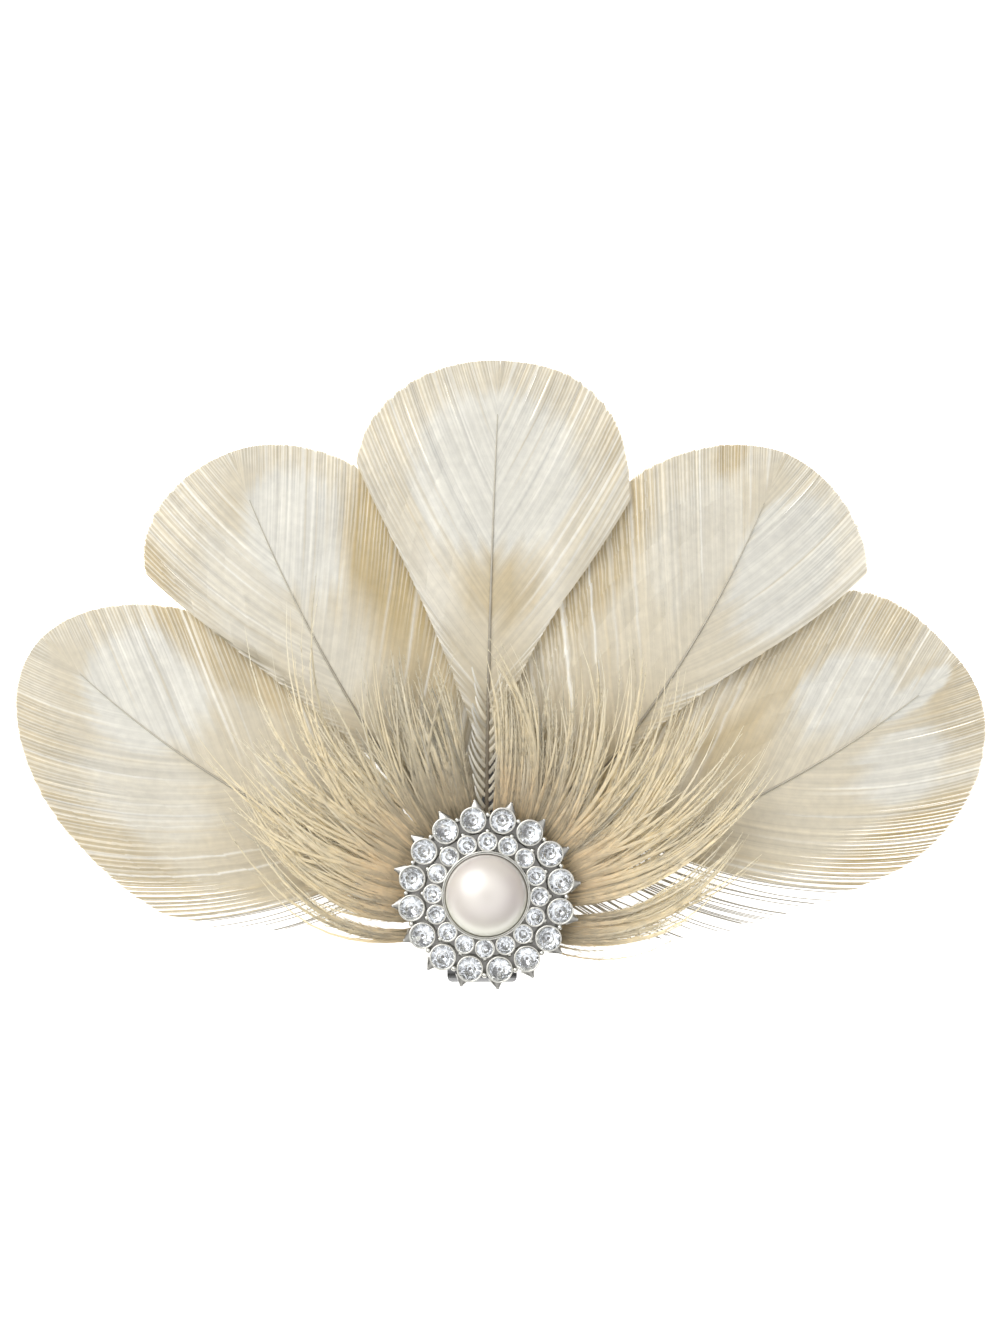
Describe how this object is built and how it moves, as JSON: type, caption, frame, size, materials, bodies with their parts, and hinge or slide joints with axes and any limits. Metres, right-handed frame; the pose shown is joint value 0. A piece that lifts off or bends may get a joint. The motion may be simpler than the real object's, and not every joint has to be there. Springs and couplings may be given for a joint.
{
  "type": "peacock feather fascinator",
  "caption": "Fan of bleached peacock eye feathers and loose barbs behind a pearl and cut-stone brooch, worn in the hair on a sprung metal clip.",
  "frame": {"origin": "on the brooch's axis, on the flat underside of the hair clip, which the piece lies on", "axes": "+Z out of the brooch's face, +X to the right seen from the front, +Y to the top of the fan"},
  "size_m": [0.1766, 0.1136, 0.0206],
  "materials": {
    "feather_vane": "bleached ivory feather, soft sheen",
    "loose_barbs": "straw coloured loose barbs",
    "silver_setting": "bright silver plating",
    "cut_stone": "clear faceted glass, foiled behind",
    "pearl": "pearl lustre",
    "clip_steel": "bright nickel-plated spring steel"
  },
  "bodies": {
    "root": {"hair_clip": "clip_steel", "barb_tuft": "loose_barbs", "brooch_setting": "silver_setting", "pearl": "pearl", "feather_center": "feather_vane", "feather_inner_left": "feather_vane", "feather_inner_right": "feather_vane", "feather_outer_left": "feather_vane", "feather_outer_right": "feather_vane", "outer_stone_01": "cut_stone", "outer_stone_02": "cut_stone", "outer_stone_03": "cut_stone", "outer_stone_04": "cut_stone", "outer_stone_05": "cut_stone", "outer_stone_06": "cut_stone", "outer_stone_07": "cut_stone", "outer_stone_08": "cut_stone", "outer_stone_09": "cut_stone", "outer_stone_10": "cut_stone", "outer_stone_11": "cut_stone", "outer_stone_12": "cut_stone", "outer_stone_13": "cut_stone", "outer_stone_14": "cut_stone", "outer_stone_15": "cut_stone", "outer_stone_16": "cut_stone", "inner_stone_01": "cut_stone", "inner_stone_02": "cut_stone", "inner_stone_03": "cut_stone", "inner_stone_04": "cut_stone", "inner_stone_05": "cut_stone", "inner_stone_06": "cut_stone", "inner_stone_07": "cut_stone", "inner_stone_08": "cut_stone", "inner_stone_09": "cut_stone", "inner_stone_10": "cut_stone", "inner_stone_11": "cut_stone", "inner_stone_12": "cut_stone", "inner_stone_13": "cut_stone", "inner_stone_14": "cut_stone", "inner_stone_15": "cut_stone", "inner_stone_16": "cut_stone"}
  },
  "joints": []
}
